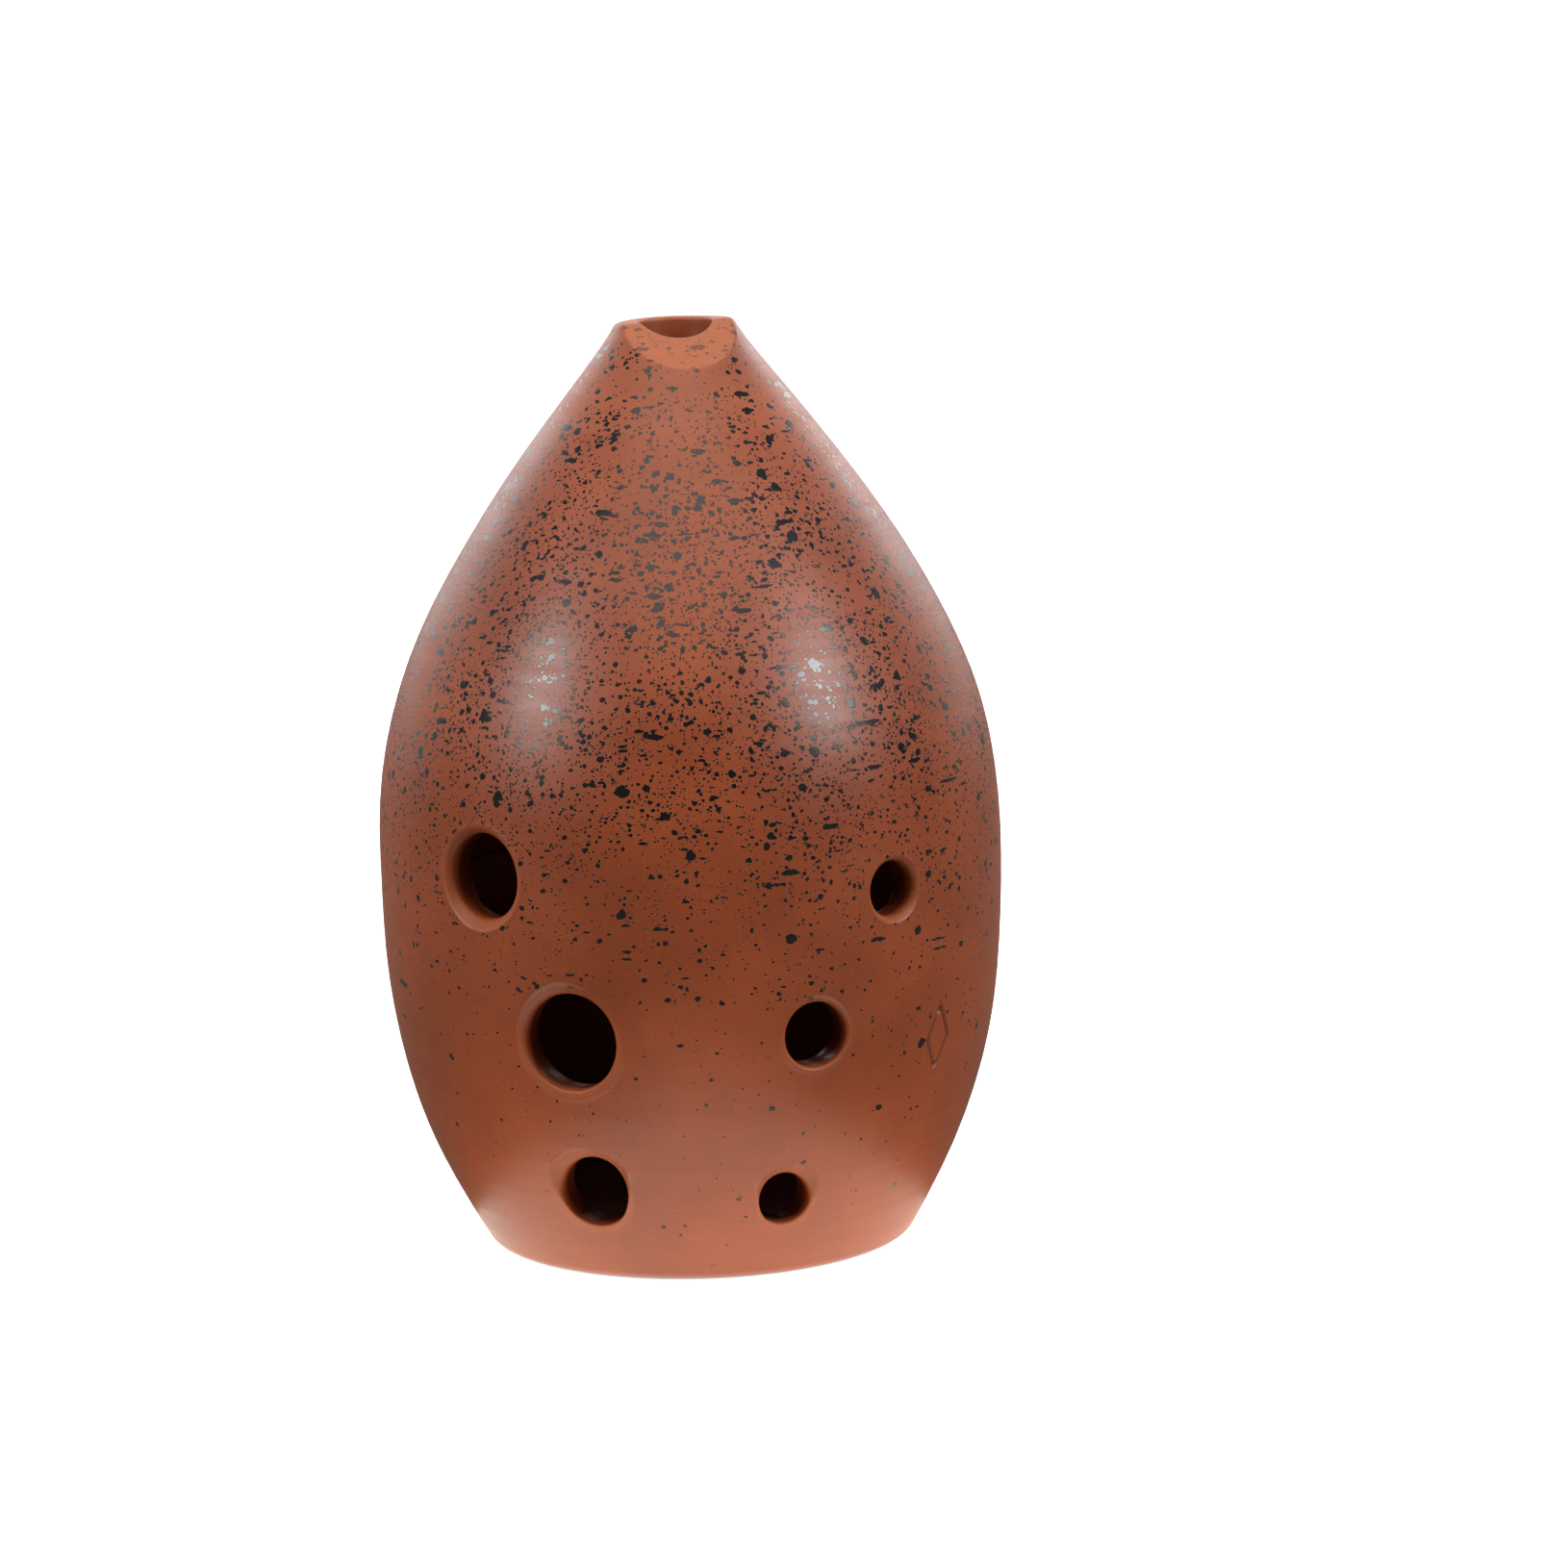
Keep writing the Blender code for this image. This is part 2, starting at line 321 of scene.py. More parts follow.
class Drill:
    """A level hole's own frame: across the wall, up, and outwards from the vessel's axis."""

    def __init__(self, azimuth, height):
        self.azimuth, self.height = azimuth, height
        self.across = np.array((cos(azimuth), sin(azimuth), 0))
        self.outwards = np.array((sin(azimuth), -cos(azimuth), 0))

    def flat(self, points):
        """(across, up) of points."""
        return np.stack((points @ self.across, points[..., 2] - self.height), axis=-1)

    def place(self, flat, depth):
        """Points from their flat places and their distances out from the axis plane."""
        return (flat[..., :1] * self.across + np.asarray(depth)[..., None] * self.outwards
                + (flat[..., 1:] + self.height) * np.array((0, 0, 1)))

    def depth(self, radius_of, flat):
        """The wall's distance out from the axis plane behind each flat point."""
        height = flat[..., 1] + self.height
        azimuth = self.azimuth + 0 * height
        for _ in range(6):
            radius = radius_of(azimuth, height)
            azimuth = self.azimuth + np.arcsin(np.clip(flat[..., 0] / radius, -1, 1))
        return radius_of(azimuth, height) * np.cos(azimuth - self.azimuth)


def directions(flat):
    """The direction of each flat point from the middle, as an angle and as a unit vector."""
    angle = np.arctan2(flat[:, 1], flat[:, 0])
    return angle, np.stack((np.cos(angle), np.sin(angle)), axis=1)


def countersink(skin, hole, drill, outer_flat):
    """Rows from an outer window's border to the top of the bore, and the bore's depth there."""
    circle = directions(outer_flat)[1]
    middle = outer_radius(hole.azimuth, hole.height)
    wide = hole.radius + hole.countersink
    start = wide + LIP_REACH
    rows = []

    # The wall, from the window's border to just outside the countersink
    for step in np.linspace(0, 1, 9)[1:]:
        flat = outer_flat * (1 - step) + circle * start * step
        rows.append(skin.add(drill.place(flat, drill.depth(outer_radius, flat))))

    # A cone let into the wall, with a slight burr round it and a soft inner edge
    cone_reaches = np.linspace(start, hole.radius + LIP_ROUND, 22)[1:]
    edge_turns = np.linspace(0, pi / 2, 7)[1:]
    edge_reaches = hole.radius + LIP_ROUND * (1 - np.sin(edge_turns))
    for reach in np.concatenate((cone_reaches, edge_reaches)):
        flat = circle * reach
        cone = middle - hole.countersink + (reach - hole.radius)
        surface = drill.depth(outer_radius, flat)
        depth = smooth_min(surface, np.full_like(surface, cone), LIP_BLEND)
        burr = hole.burr * np.exp(-((reach - wide) / BURR_WIDTH) ** 2)
        inside = np.clip(1 - (reach - hole.radius) / LIP_ROUND, 0, 1)
        drop = LIP_ROUND * (1 - np.sqrt(np.clip(1 - inside ** 2, 0, 1)))
        lip = np.clip((wide + LIP_FADE / 2 - reach) / LIP_FADE, 0, 1)
        rows.append(skin.add(drill.place(flat, depth + burr - drop), 1 - lip, lip))
    return rows, depth - drop


def bore(skin, hole, drill, top, outer_flat, inner_flat):
    """Rows from the top of the bore, down it and across the inner wall to its window."""
    angle, circle = directions(outer_flat)
    last = circle * (hole.radius + BORE_ROUND)
    inner = drill.depth(inner_radius, last)
    low = inner + BORE_ROUND_DEPTH
    rows = []
    for step in np.linspace(0, 1, 11)[1:]:
        wobble = BORE_WOBBLE * np.sin(3 * angle + 9 * step) * sin(pi * step)
        flat = circle * (hole.radius + wobble)[:, None]
        # Painted shade: the colour darkens from the paler worn top edge down into the bore
        lip = BORE_EDGE_LIP + (BORE_PAINTED_SHADE - BORE_EDGE_LIP) * min(2.5 * step, 1)
        rows.append(skin.add(drill.place(flat, top + (low - top) * step), 0, lip))
    for turn in np.linspace(0, pi / 2, 5)[1:]:
        flat = circle * (hole.radius + BORE_ROUND * (1 - cos(turn)))
        depth = inner + BORE_ROUND_DEPTH * (1 - sin(turn))
        # Painted shade on the soft edge between the bore and the inner wall
        rows.append(skin.add(drill.place(flat, depth), 0, BORE_PAINTED_SHADE))
    for step in np.linspace(0, 1, 6)[1:-1]:
        flat = last * (1 - step) + inner_flat * step
        rows.append(skin.add(drill.place(flat, drill.depth(inner_radius, flat)), 0))
    return rows


def open_hole(skin, hole, outer_border, inner_border):
    """Fills an outer window with a countersunk hole that runs through to the inner window."""
    drill = Drill(hole.azimuth, hole.height)
    points = np.concatenate(skin.points)
    outer_flat = drill.flat(points[outer_border])
    inner_flat = drill.flat(points[inner_border])
    rows, top = countersink(skin, hole, drill, outer_flat)
    rows += bore(skin, hole, drill, top, outer_flat, inner_flat)
    skin.quads(np.array([outer_border, *rows, inner_border]))


def press_mark(skin, mark_border):
    """Fills a window with the lozenge: a groove round a raised middle."""
    drill = Drill(MARK_AZIMUTH, MARK_HEIGHT)
    border_flat = drill.flat(np.concatenate(skin.points)[mark_border])
    circle = directions(border_flat)[1]
    reach = 1 / (np.abs(circle[:, 0]) / MARK_HALF_WIDTH + np.abs(circle[:, 1]) / MARK_HALF_HEIGHT)
    lozenge = circle * reach[:, None]
    rows = [mark_border]
    groove = MARK_GROOVE / MARK_HALF_WIDTH
    for step in np.linspace(0, 1, 7)[1:]:
        flat = border_flat * (1 - step) + lozenge * (1 + 1.3 * groove) * step
        rows.append(skin.add(drill.place(flat, drill.depth(outer_radius, flat))))
    section = [(1 + across * groove, deep) for across, deep in MARK_SECTION]
    for part, deep in section + [(part, 0) for part in MARK_INSIDE]:
        flat = lozenge * part
        depth = drill.depth(outer_radius, flat) - MARK_DEPTH * deep
        # Painted shade in the groove, darkest where the groove is deepest
        rows.append(skin.add(drill.place(flat, depth), 1, MARK_PAINTED_SHADE * max(deep, 0)))
    skin.quads(np.array(rows))
    centre = np.zeros(2)
    skin.fan(rows[-1], skin.add(drill.place(centre, drill.depth(outer_radius, centre))))


def walls(skin, outer_heights, inner_heights, holes):
    """Outer and inner wall grids of a shell, with a window in each of them for every hole.

    Returns both grids, both lists of windows, and each hole with the borders of its two windows.
    """
    azimuths = COLUMN_AZIMUTHS[None, :]
    outer = skin.add(around(outer_radius(azimuths, outer_heights[:, None]), azimuths,
                            outer_heights[:, None]))
    inner = skin.add(around(inner_radius(azimuths, inner_heights[:, None]), azimuths,
                            inner_heights[:, None]), 0)
    outer_windows, inner_windows, openings = [], [], []
    for hole in holes:
        half = hole.radius + hole.countersink + HOLE_MARGIN
        radius = float(outer_radius(hole.azimuth, hole.height))
        low, high, first, last = window(outer_heights, hole.azimuth, hole.height, half, half, radius)
        low = max(low, 1)
        inner_low = np.searchsorted(inner_heights, hole.height) - (high - low) // 2
        inner_low = max(inner_low, 1)
        inner_high = inner_low + high - low
        outer_windows.append((low, high, first, last))
        inner_windows.append((inner_low, inner_high, first, last))
        openings.append((hole, outer[border(low, high, first, last)],
                         inner[border(inner_low, inner_high, first, last)]))
    return outer, inner, outer_windows, inner_windows, openings


def ring(skin, radius, height, glazed=0.0, lip=0.0):
    """One row round the vessel. The radius and the height may differ from column to column."""
    return skin.add(around(radius, COLUMN_AZIMUTHS, height), glazed, lip)


def finish_walls(skin, grid):
    """Adds the quads of both wall grids and lets the holes in."""
    outer, inner, outer_windows, inner_windows, openings = grid
    skin.quads(outer, skipped(outer.shape, outer_windows))
    skin.quads(inner[::-1], skipped(inner.shape, inner_windows)[::-1])
    for hole, outer_border, inner_border in openings:
        open_hole(skin, hole, outer_border, inner_border)


# ---- The pieces of clay ---------------------------------------------------------------------

def lower_shell(material):
    skin = Skin()
    arc_top = FOOT.height
    arc_rows = FOOT_ROUND * (1 - np.cos(np.linspace(0, pi / 2 - FOOT_LEAN, 9)))
    outer_heights = np.concatenate((arc_rows[:-1], seam_rows(arc_top, BELLY_SEAM)))
    inner_heights = spread(BASE_THICKNESS, BELLY_SEAM + BELLY_LAP, ROW)
    grid = walls(skin, outer_heights, inner_heights, LOWER_HOLES)
    outer, inner, outer_windows, _, _ = grid

    half = (MARK_HALF_WIDTH + MARK_MARGIN, MARK_HALF_HEIGHT + MARK_MARGIN)
    mark = window(outer_heights, MARK_AZIMUTH, MARK_HEIGHT, *half, BELLY.radius)
    outer_windows.append(mark)
    finish_walls(skin, grid)
    press_mark(skin, outer[border(*mark)])

    tongue = np.interp(BELLY_SEAM, OUTER[:, 1], OUTER[:, 0]) - WALL / 2 - SLIP_GAP / 2
    top = [outer[-1], ring(skin, tongue, BELLY_SEAM), ring(skin, tongue, BELLY_SEAM + BELLY_LAP),
           inner[-1]]
    opening = SLAB_RADIUS + SLIP_GAP / 2
    step_top = SLAB_STEP + SLIP_GAP
    bottom = [inner[0], ring(skin, opening - SLAB_STEP, BASE_THICKNESS),
              ring(skin, opening - SLAB_STEP, step_top), ring(skin, opening, step_top),
              ring(skin, opening, SLAB_ROUND),
              ring(skin, opening + 0.3 * SLAB_ROUND, 0.3 * SLAB_ROUND),
              ring(skin, opening + SLAB_ROUND, 0), outer[0]]
    skin.quads(np.array(top))
    skin.quads(np.array(bottom))
    skin.piece("lower_shell_clay_body", material, "lower_shell")


def upper_shell(material):
    skin = Skin()
    outer_heights = seam_rows(BELLY_SEAM, MOUTH_SEAM)
    ledge = MOUTH_SEAM - MOUTH_LAP - SLIP_GAP
    lap_top = BELLY_SEAM + BELLY_LAP + SLIP_GAP
    inner_heights = spread(lap_top, ledge, ROW)
    grid = walls(skin, outer_heights, inner_heights, UPPER_HOLES)
    outer, inner = grid[:2]
    finish_walls(skin, grid)

    lips = [np.interp(seam, OUTER[:, 1], OUTER[:, 0]) for seam in (BELLY_SEAM, MOUTH_SEAM)]
    neck = SPIGOT_RADIUS + SLIP_GAP
    top = [outer[-1], ring(skin, lips[1] - SEAM_INSET, MOUTH_SEAM - SLIP_GAP),
           ring(skin, neck, MOUTH_SEAM - SLIP_GAP), ring(skin, neck, ledge), inner[-1]]
    socket = lips[0] - WALL / 2 + SLIP_GAP / 2
    bottom = [inner[0], ring(skin, socket, lap_top), ring(skin, socket, BELLY_SEAM + SLIP_GAP),
              ring(skin, lips[0] - SEAM_INSET, BELLY_SEAM + SLIP_GAP), outer[0]]
    skin.quads(np.array(top))
    skin.quads(np.array(bottom))
    skin.piece("upper_shell_clay_body", material, "upper_shell")


def rounded(start, corner, end, steps=7):
    """Points inside a soft corner. Each place is a (radius, height) pair of column arrays."""
    turn = np.linspace(0, 1, steps)[1:-1]
    return [tuple((1 - t) ** 2 * a + 2 * (1 - t) * t * b + t ** 2 * c
                  for a, b, c in zip(start, corner, end)) for t in turn]


def mouth_top(radius):
    """The height of the bevel or of the rim, whichever is lower, in each column."""
    facing = np.cos(COLUMN_AZIMUTHS - BEVEL_AZIMUTH)
    bevel = HEIGHT - tan(BEVEL_SLOPE) * (radius * facing - BEVEL_START)
    tilt = RIM_TILT * (RIM.radius - radius * np.sin(COLUMN_AZIMUTHS))
    uneven = RIM_UNEVEN * (np.sin(3 * COLUMN_AZIMUTHS + 0.5) + 1)
    return smooth_min(bevel, HEIGHT - tilt - uneven, RIM_BLEND)


def mouth_edge():
    """The height in each column at which the wall meets the bevel or the rim."""
    heights = np.linspace(MOUTH_SEAM, HEIGHT, 2400)[:, None]
    over = heights >= mouth_top(outer_radius(COLUMN_AZIMUTHS[None, :], heights))
    over[-1] = True
    return heights[np.argmax(over, axis=0), 0]


def mouth_ring(material):
    skin = Skin()
    azimuths = COLUMN_AZIMUTHS
    edge_height = mouth_edge()
    edge_radius = outer_radius(azimuths, edge_height)
    bevelled = np.clip((HEIGHT - edge_height) / BEVEL_FULL, 0, 1)
    outer_soft = RIM_ROUND + (BEVEL_ROUND - RIM_ROUND) * bevelled
    inner_soft = BLOW_HOLE_ROUND + (BLOW_EDGE_ROUND - BLOW_HOLE_ROUND) * bevelled

    low_height = edge_height - 0.85 * outer_soft
    low = (outer_radius(azimuths, low_height), low_height)
    in_radius = edge_radius - outer_soft
    onto = (in_radius, mouth_top(in_radius))
    before_bore = (BORE_RADIUS + inner_soft, mouth_top(BORE_RADIUS + inner_soft))
    bore_top = (BORE_RADIUS + 0 * azimuths, mouth_top(BORE_RADIUS))
    in_bore = (bore_top[0], bore_top[1] - inner_soft)

    rows = []
    for part in np.concatenate(([0, 0.002], np.linspace(0.03, 1, 34))):
        height = MOUTH_SEAM + (low_height - MOUTH_SEAM) * part
        rows.append(ring(skin, outer_radius(azimuths, height), height, 1))
    for radius, height in rounded(low, (edge_radius, edge_height), onto):
        rows.append(ring(skin, radius, height, 0.8))
    for part in np.linspace(0, 1, 14):
        radius = onto[0] + (before_bore[0] - onto[0]) * part
        rows.append(ring(skin, radius, mouth_top(radius), 0.6, BEVEL_LIP))
    for radius, height in rounded(before_bore, bore_top, in_bore):
        rows.append(ring(skin, radius, height, 0.3, BLOW_HOLE_LIP))
    spigot_low = MOUTH_SEAM - MOUTH_LAP
    for part in np.linspace(0, 1, 24):
        height = in_bore[1] + (spigot_low - in_bore[1]) * part
        throat = np.interp(height, INNER[:, 1], INNER[:, 0])
        rows.append(ring(skin, -smooth_min(-throat, -bore_top[0], 0.9 * MM), height))
    rows.append(ring(skin, SPIGOT_RADIUS, spigot_low))
    rows.append(ring(skin, SPIGOT_RADIUS, MOUTH_SEAM))
    rows.append(rows[0])
    skin.quads(np.array(rows))
    skin.piece("mouth_ring_clay_body", material, "mouth_ring")


def base_slab(material):
    """The slab in the foot, with the spiral that a cutting wire leaves under it."""
    skin = Skin()
    azimuths = COLUMN_AZIMUTHS
    flat_edge = SLAB_RADIUS - 1.5 * MM
    rows = []
    for radius in spread(0.4 * MM, SLAB_RADIUS - SLAB_ROUND, 0.4 * MM):
        fade = np.clip((flat_edge - radius) / (2 * MM), 0, 1)
        groove = 0.5 + 0.5 * np.sin(2 * pi * radius / SPIRAL_PITCH - azimuths)
        rows.append(ring(skin, radius, SPIRAL_DEPTH * fade * groove ** 2))
    plug = SLAB_RADIUS - SLAB_STEP
    rows += [ring(skin, SLAB_RADIUS - 0.3 * SLAB_ROUND, 0.3 * SLAB_ROUND),
             ring(skin, SLAB_RADIUS, SLAB_ROUND), ring(skin, SLAB_RADIUS, SLAB_STEP),
             ring(skin, plug, SLAB_STEP), ring(skin, plug, BASE_THICKNESS - SLAB_ROUND)]
    for radius in spread(plug - SLAB_ROUND, 0.4 * MM, 1.0 * MM):
        dimple = 0.12 * MM * (0.5 + 0.5 * np.sin(5 * azimuths + radius / MM))
        rows.append(ring(skin, radius, BASE_THICKNESS - dimple * radius / SLAB_RADIUS))
    skin.quads(np.array(rows))
    skin.fan(rows[0][::-1], skin.add((0, 0, 0.02 * MM), 0))
    skin.fan(rows[-1], skin.add((0, 0, BASE_THICKNESS), 0))
    skin.piece("base_slab_clay_body", material, "base_slab")


def seam_coil(material):
    """The coil inside the belly joint, pinched on with a fingertip all the way round."""
    skin = Skin()
    azimuths = COLUMN_AZIMUTHS
    middle = (COIL_LOW + COIL_HIGH) / 2
    half = (COIL_HIGH - COIL_LOW) / 2
    pinch = 0.72 + 0.2 * np.sin(23 * azimuths) + 0.08 * np.sin(7 * azimuths + 1)

    def back(height):
        return np.interp(height, INNER[:, 1], INNER[:, 0]) - SLIP_GAP - COIL_CLEARANCE

    rows = [ring(skin, back(height), height) for height in np.linspace(COIL_LOW, COIL_HIGH, 7)]
    for turn in np.linspace(0, pi, 15)[1:-1]:
        depth = COIL_DEPTH * pinch * sin(turn) ** 0.8
        rows.append(ring(skin, back(middle) - depth, middle + half * cos(turn)))
    rows.append(rows[0])
    skin.quads(np.array(rows))
    skin.piece("seam_coil_clay_body", material, "seam_coil")


# ---- Materials ------------------------------------------------------------------------------

class Nodes:
    """Short calls for building a material's node tree."""

    def __init__(self, name):
        self.material = bpy.data.materials.new(name)
        self.material.use_nodes = True
        self.tree = self.material.node_tree
        self.surface = self.tree.nodes["Principled BSDF"]

    def set(self, socket, value):
        if isinstance(value, bpy.types.NodeSocket):
            self.tree.links.new(value, socket)
        else:
            socket.default_value = value

    def node(self, kind, values=None, **settings):
        node = self.tree.nodes.new(kind)
        for key, value in settings.items():
            setattr(node, key, value)
        for key, value in (values or {}).items():
            self.set(node.inputs[key], value)
        return node

    def math(self, operation, a, b, clamp=False):
        node = self.node("ShaderNodeMath", {0: a, 1: b}, operation=operation, use_clamp=clamp)
        return node.outputs[0]

    def vector(self, operation, a, b):
        node = self.node("ShaderNodeVectorMath", {0: a, 1: b}, operation=operation)
        return node.outputs[0]

    def scaled(self, vector, scale, shift=(0, 0, 0)):
        node = self.node("ShaderNodeMapping", {"Vector": vector, "Scale": scale, "Location": shift})
        return node.outputs[0]

    def noise(self, vector, scale, detail, roughness=0.5):
        return self.node("ShaderNodeTexNoise", {"Vector": vector, "Scale": scale, "Detail": detail,
                                                "Roughness": roughness})

    def remap(self, value, old, new, smooth=False):
        node = self.node("ShaderNodeMapRange", {"Value": value, "From Min": old[0],
                         "From Max": old[1], "To Min": new[0], "To Max": new[1]},
                         interpolation_type="SMOOTHSTEP" if smooth else "LINEAR")
        return node.outputs[0]

    def mix(self, factor, a, b):
        node = self.node("ShaderNodeMix", data_type="RGBA")
        self.set(node.inputs[0], factor)
        self.set(node.inputs[6], a)
        self.set(node.inputs[7], b)
        return node.outputs[2]

    def curve(self, value, stops):
        """A value read off straight lines between (place, level) stops."""
        node = self.node("ShaderNodeValToRGB", {0: value})
        ramp = node.color_ramp
        while len(ramp.elements) < len(stops):
            ramp.elements.new(0.5)
        for element, (place, level) in zip(ramp.elements, stops):
            element.position = place
            element.color = (level, level, level, 1)
        return node.outputs[0]


SHELL_COLOUR = (0.262, 0.052, 0.0125)
MOUTH_COLOUR = (0.270, 0.060, 0.018)
BARE_COLOUR = (0.27, 0.075, 0.034)
GLAZE_COLOUR = (0.006, 0.005, 0.006, 1)
SHELL_ROUGHNESS = 0.42
MOUTH_ROUGHNESS = 0.44
BARE_ROUGHNESS = 0.60
GLAZE_ROUGHNESS = 0.27
GLAZE_RELIEF = 1.1
BUMP_DISTANCE = 0.018 * MM

# How thickly the glaze was spattered up the vessel: (part of its height, share of full)
MIST_UP = ((0.0, 0.0), (0.17, 0.02), (0.29, 0.08), (0.38, 0.20), (0.46, 0.55), (0.56, 1.0),
           (0.80, 1.0), (0.88, 0.65), (0.95, 0.40), (1.0, 0.20))
SPATTER_UP = ((0.0, 0.0), (0.16, 0.03), (0.25, 0.12), (0.36, 0.22), (0.45, 0.46), (0.58, 0.95),
              (0.85, 1.0), (0.93, 0.7), (1.0, 0.4))
SMEAR_UP = ((0.0, 0.0), (0.30, 0.04), (0.45, 0.25), (0.62, 0.60), (0.80, 1.0), (1.0, 1.0))

# Spatter layers: five of round drops, finest first, then three of drops smeared sideways. Each has
# the cell that may hold one drop (mm across, mm up), the drop's largest radius in cells, the share
# of cells with a drop, and the table of how that share changes up the wall
DROPS = (
    ((0.44, 0.42), 0.320, 0.85, MIST_UP),
    ((0.72, 0.68), 0.320, 0.88, MIST_UP),
    ((1.20, 1.05), 0.300, 0.66, SPATTER_UP),
    ((1.95, 1.75), 0.265, 0.62, SPATTER_UP),
    ((3.60, 3.20), 0.210, 0.55, SPATTER_UP),
    ((2.10, 0.70), 0.280, 0.50, SMEAR_UP),
    ((4.80, 1.40), 0.270, 0.30, SMEAR_UP),
    ((9.50, 1.05), 0.250, 0.16, SMEAR_UP),
)
SMALLEST_DROP = 0.55     # as a part of the layer's largest radius
DROP_EDGE = 0.014        # half the soft edge of a drop, in mm
RAGGED = 0.30            # how far a drop's outline wanders, as a part of its cell's height
FINE_RAGGED_MOST = 0.40  # the most that it wanders by the fine noise, and by the wide one, in mm
WIDE_RAGGED_MOST = 0.80


def splashes(nodes, place):
    """Ragged blots where several drops ran together: 1 on a blot and 0 beside it."""
    shape = nodes.noise(nodes.scaled(place, (620, 620, 900), (3, 5, 7)), 1, 3, 0.62).outputs["Fac"]
    where = nodes.noise(place, 260, 1).outputs["Fac"]
    level = nodes.node("ShaderNodeSeparateXYZ", {0: place}).outputs["Z"]
    level = nodes.curve(nodes.math("DIVIDE", level, HEIGHT), SPATTER_UP)
    bar = nodes.math("SUBTRACT", 0.86, nodes.math("MULTIPLY", where, 0.26))
    bar = nodes.math("SUBTRACT", bar, nodes.math("MULTIPLY", level, 0.07))
    return nodes.remap(nodes.math("SUBTRACT", shape, bar), (-0.012, 0.012), (0, 1), True)


def spatter(nodes, place):
    """Drops and splashes of black glaze: 1 on a drop and 0 between them."""
    ragged = nodes.noise(place, 2400, 1).outputs["Color"]
    ragged = nodes.vector("SUBTRACT", ragged, (0.5, 0.5, 0.5))
    wide_ragged = nodes.noise(place, 800, 1).outputs["Color"]
    wide_ragged = nodes.vector("SUBTRACT", wide_ragged, (0.5, 0.5, 0.5))
    drops = None
    for number, ((across, up), size, share, table) in enumerate(DROPS):
        scale = (1 / (across * MM), 1 / (across * MM), 1 / (up * MM))
        near = nodes.vector("MULTIPLY", ragged, (min(RAGGED * up, FINE_RAGGED_MOST) * MM,) * 3)
        far = nodes.vector("MULTIPLY", wide_ragged, (min(RAGGED * up, WIDE_RAGGED_MOST) * MM,) * 3)
        moved = nodes.vector("ADD", place, nodes.vector("ADD", near, far))
        cells = nodes.node("ShaderNodeTexVoronoi", {
            "Vector": nodes.scaled(moved, scale, (7.3 * number, 3.1 * number, 0)),
            "Scale": 1.0, "Randomness": 1.0})
        chance = nodes.node("ShaderNodeSeparateColor", {0: cells.outputs["Color"]})
        centre = nodes.vector("MULTIPLY", cells.outputs["Position"],
                              tuple(1 / value for value in scale))
        height = nodes.node("ShaderNodeSeparateXYZ", {0: centre}).outputs["Z"]
        level = nodes.curve(nodes.math("DIVIDE", height, HEIGHT), table)
        clump = nodes.remap(nodes.noise(centre, 150, 2).outputs["Fac"], (0.36, 0.64), (0.30, 1.7))
        wanted = nodes.math("MULTIPLY", nodes.math("MULTIPLY", level, clump), share)
        present = nodes.math("LESS_THAN", chance.outputs[0], wanted)
        radius = nodes.remap(chance.outputs[1], (0, 1), (SMALLEST_DROP * size, size))
        past = nodes.math("SUBTRACT", cells.outputs["Distance"], radius)
        edge = DROP_EDGE / up
        drop = nodes.math("MULTIPLY", present, nodes.remap(past, (-edge, edge), (1, 0), True))
        drops = drop if drops is None else nodes.math("MAXIMUM", drops, drop)
    return nodes.math("MAXIMUM", drops, splashes(nodes, place))


def tinted(colour, red, green, blue):
    """A colour with its channels scaled, as a colour socket takes it."""
    return red * colour[0], green * colour[1], blue * colour[2], 1


